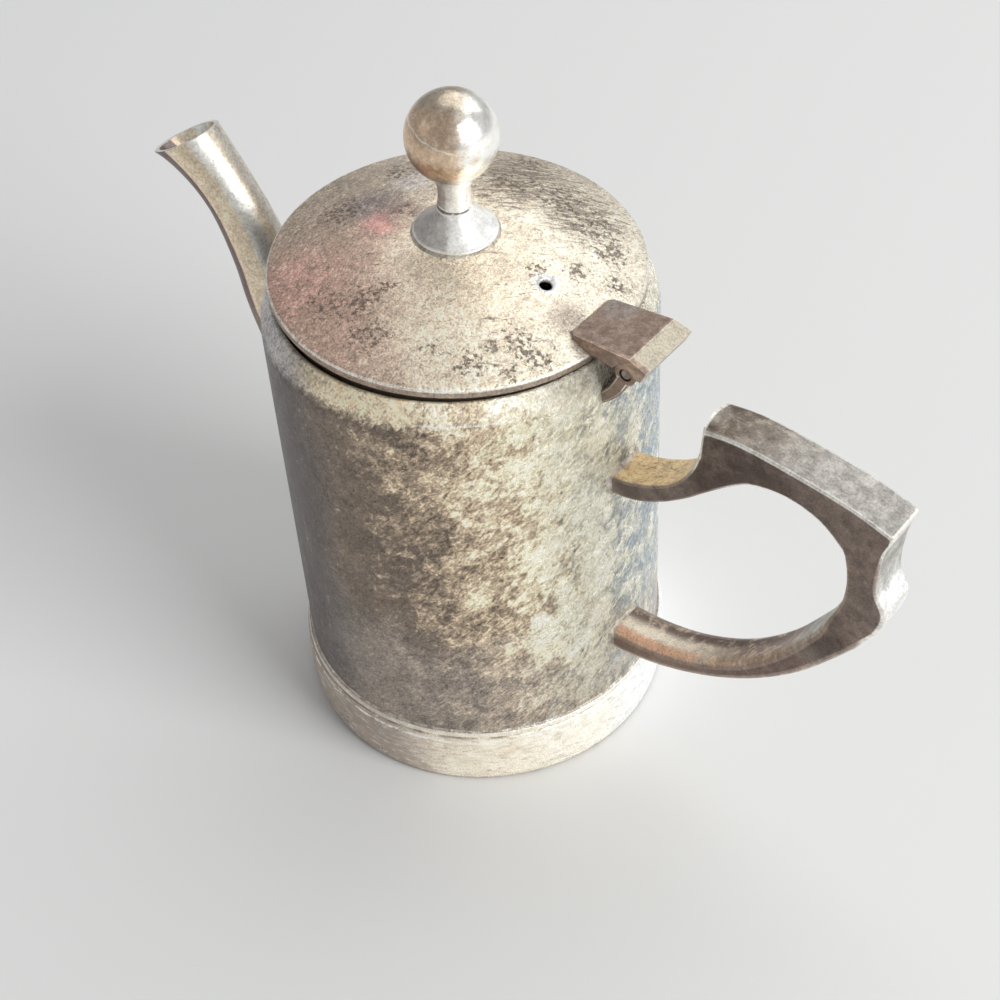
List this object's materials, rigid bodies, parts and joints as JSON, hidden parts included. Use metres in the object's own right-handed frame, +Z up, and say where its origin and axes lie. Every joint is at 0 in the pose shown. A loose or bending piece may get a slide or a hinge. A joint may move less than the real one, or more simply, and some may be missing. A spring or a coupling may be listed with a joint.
{
  "type": "creamer",
  "caption": "Small cylindrical metal creamer with a hinged domed lid, ball knob, curved tube spout and a cast loop handle, on a soldered foot band.",
  "frame": {"origin": "on the body's axis at the plane of the table, under the centre of the base plate", "axes": "+X towards the handle and the lid's hinge, the spout points to -X, +Z up along the body's axis"},
  "size_m": [0.1612, 0.0726, 0.1327],
  "materials": {
    "plate_body": "worn silver plate over nickel silver, tarnished grey-brown with pale yellow patches",
    "plate_foot": "worn silver plate, brighter where it is handled",
    "plate_spout": "worn silver plate, pale gold",
    "plate_lid": "worn silver plate with dark pitting and a faint pink tarnish",
    "cast_metal": "cast nickel silver, darkened brown, grey on the rubbed faces",
    "turned_metal": "turned and plated, worn smooth",
    "fixing_metal": "dull nickel silver"
  },
  "bodies": {
    "pot": {"body_shell": "plate_body", "base_plate": "plate_body", "foot_ring": "plate_foot", "spout_tube": "plate_spout", "handle": "cast_metal", "hinge_bracket": "cast_metal", "hinge_pin": "fixing_metal"},
    "lid": {"lid_cover": "plate_lid", "lid_bezel": "plate_lid", "hinge_leaf": "cast_metal", "knob_base": "turned_metal", "knob_ball": "turned_metal", "knob_stud": "fixing_metal", "knob_washer": "fixing_metal", "knob_nut": "fixing_metal"}
  },
  "joints": [
    {"name": "lid_hinge", "type": "hinge", "parent": "pot", "child": "lid", "pos_m": [0.0394, 0, 0.0969], "axis": [0, 1, 0], "range_deg": [-2.2, 90]}
  ]
}
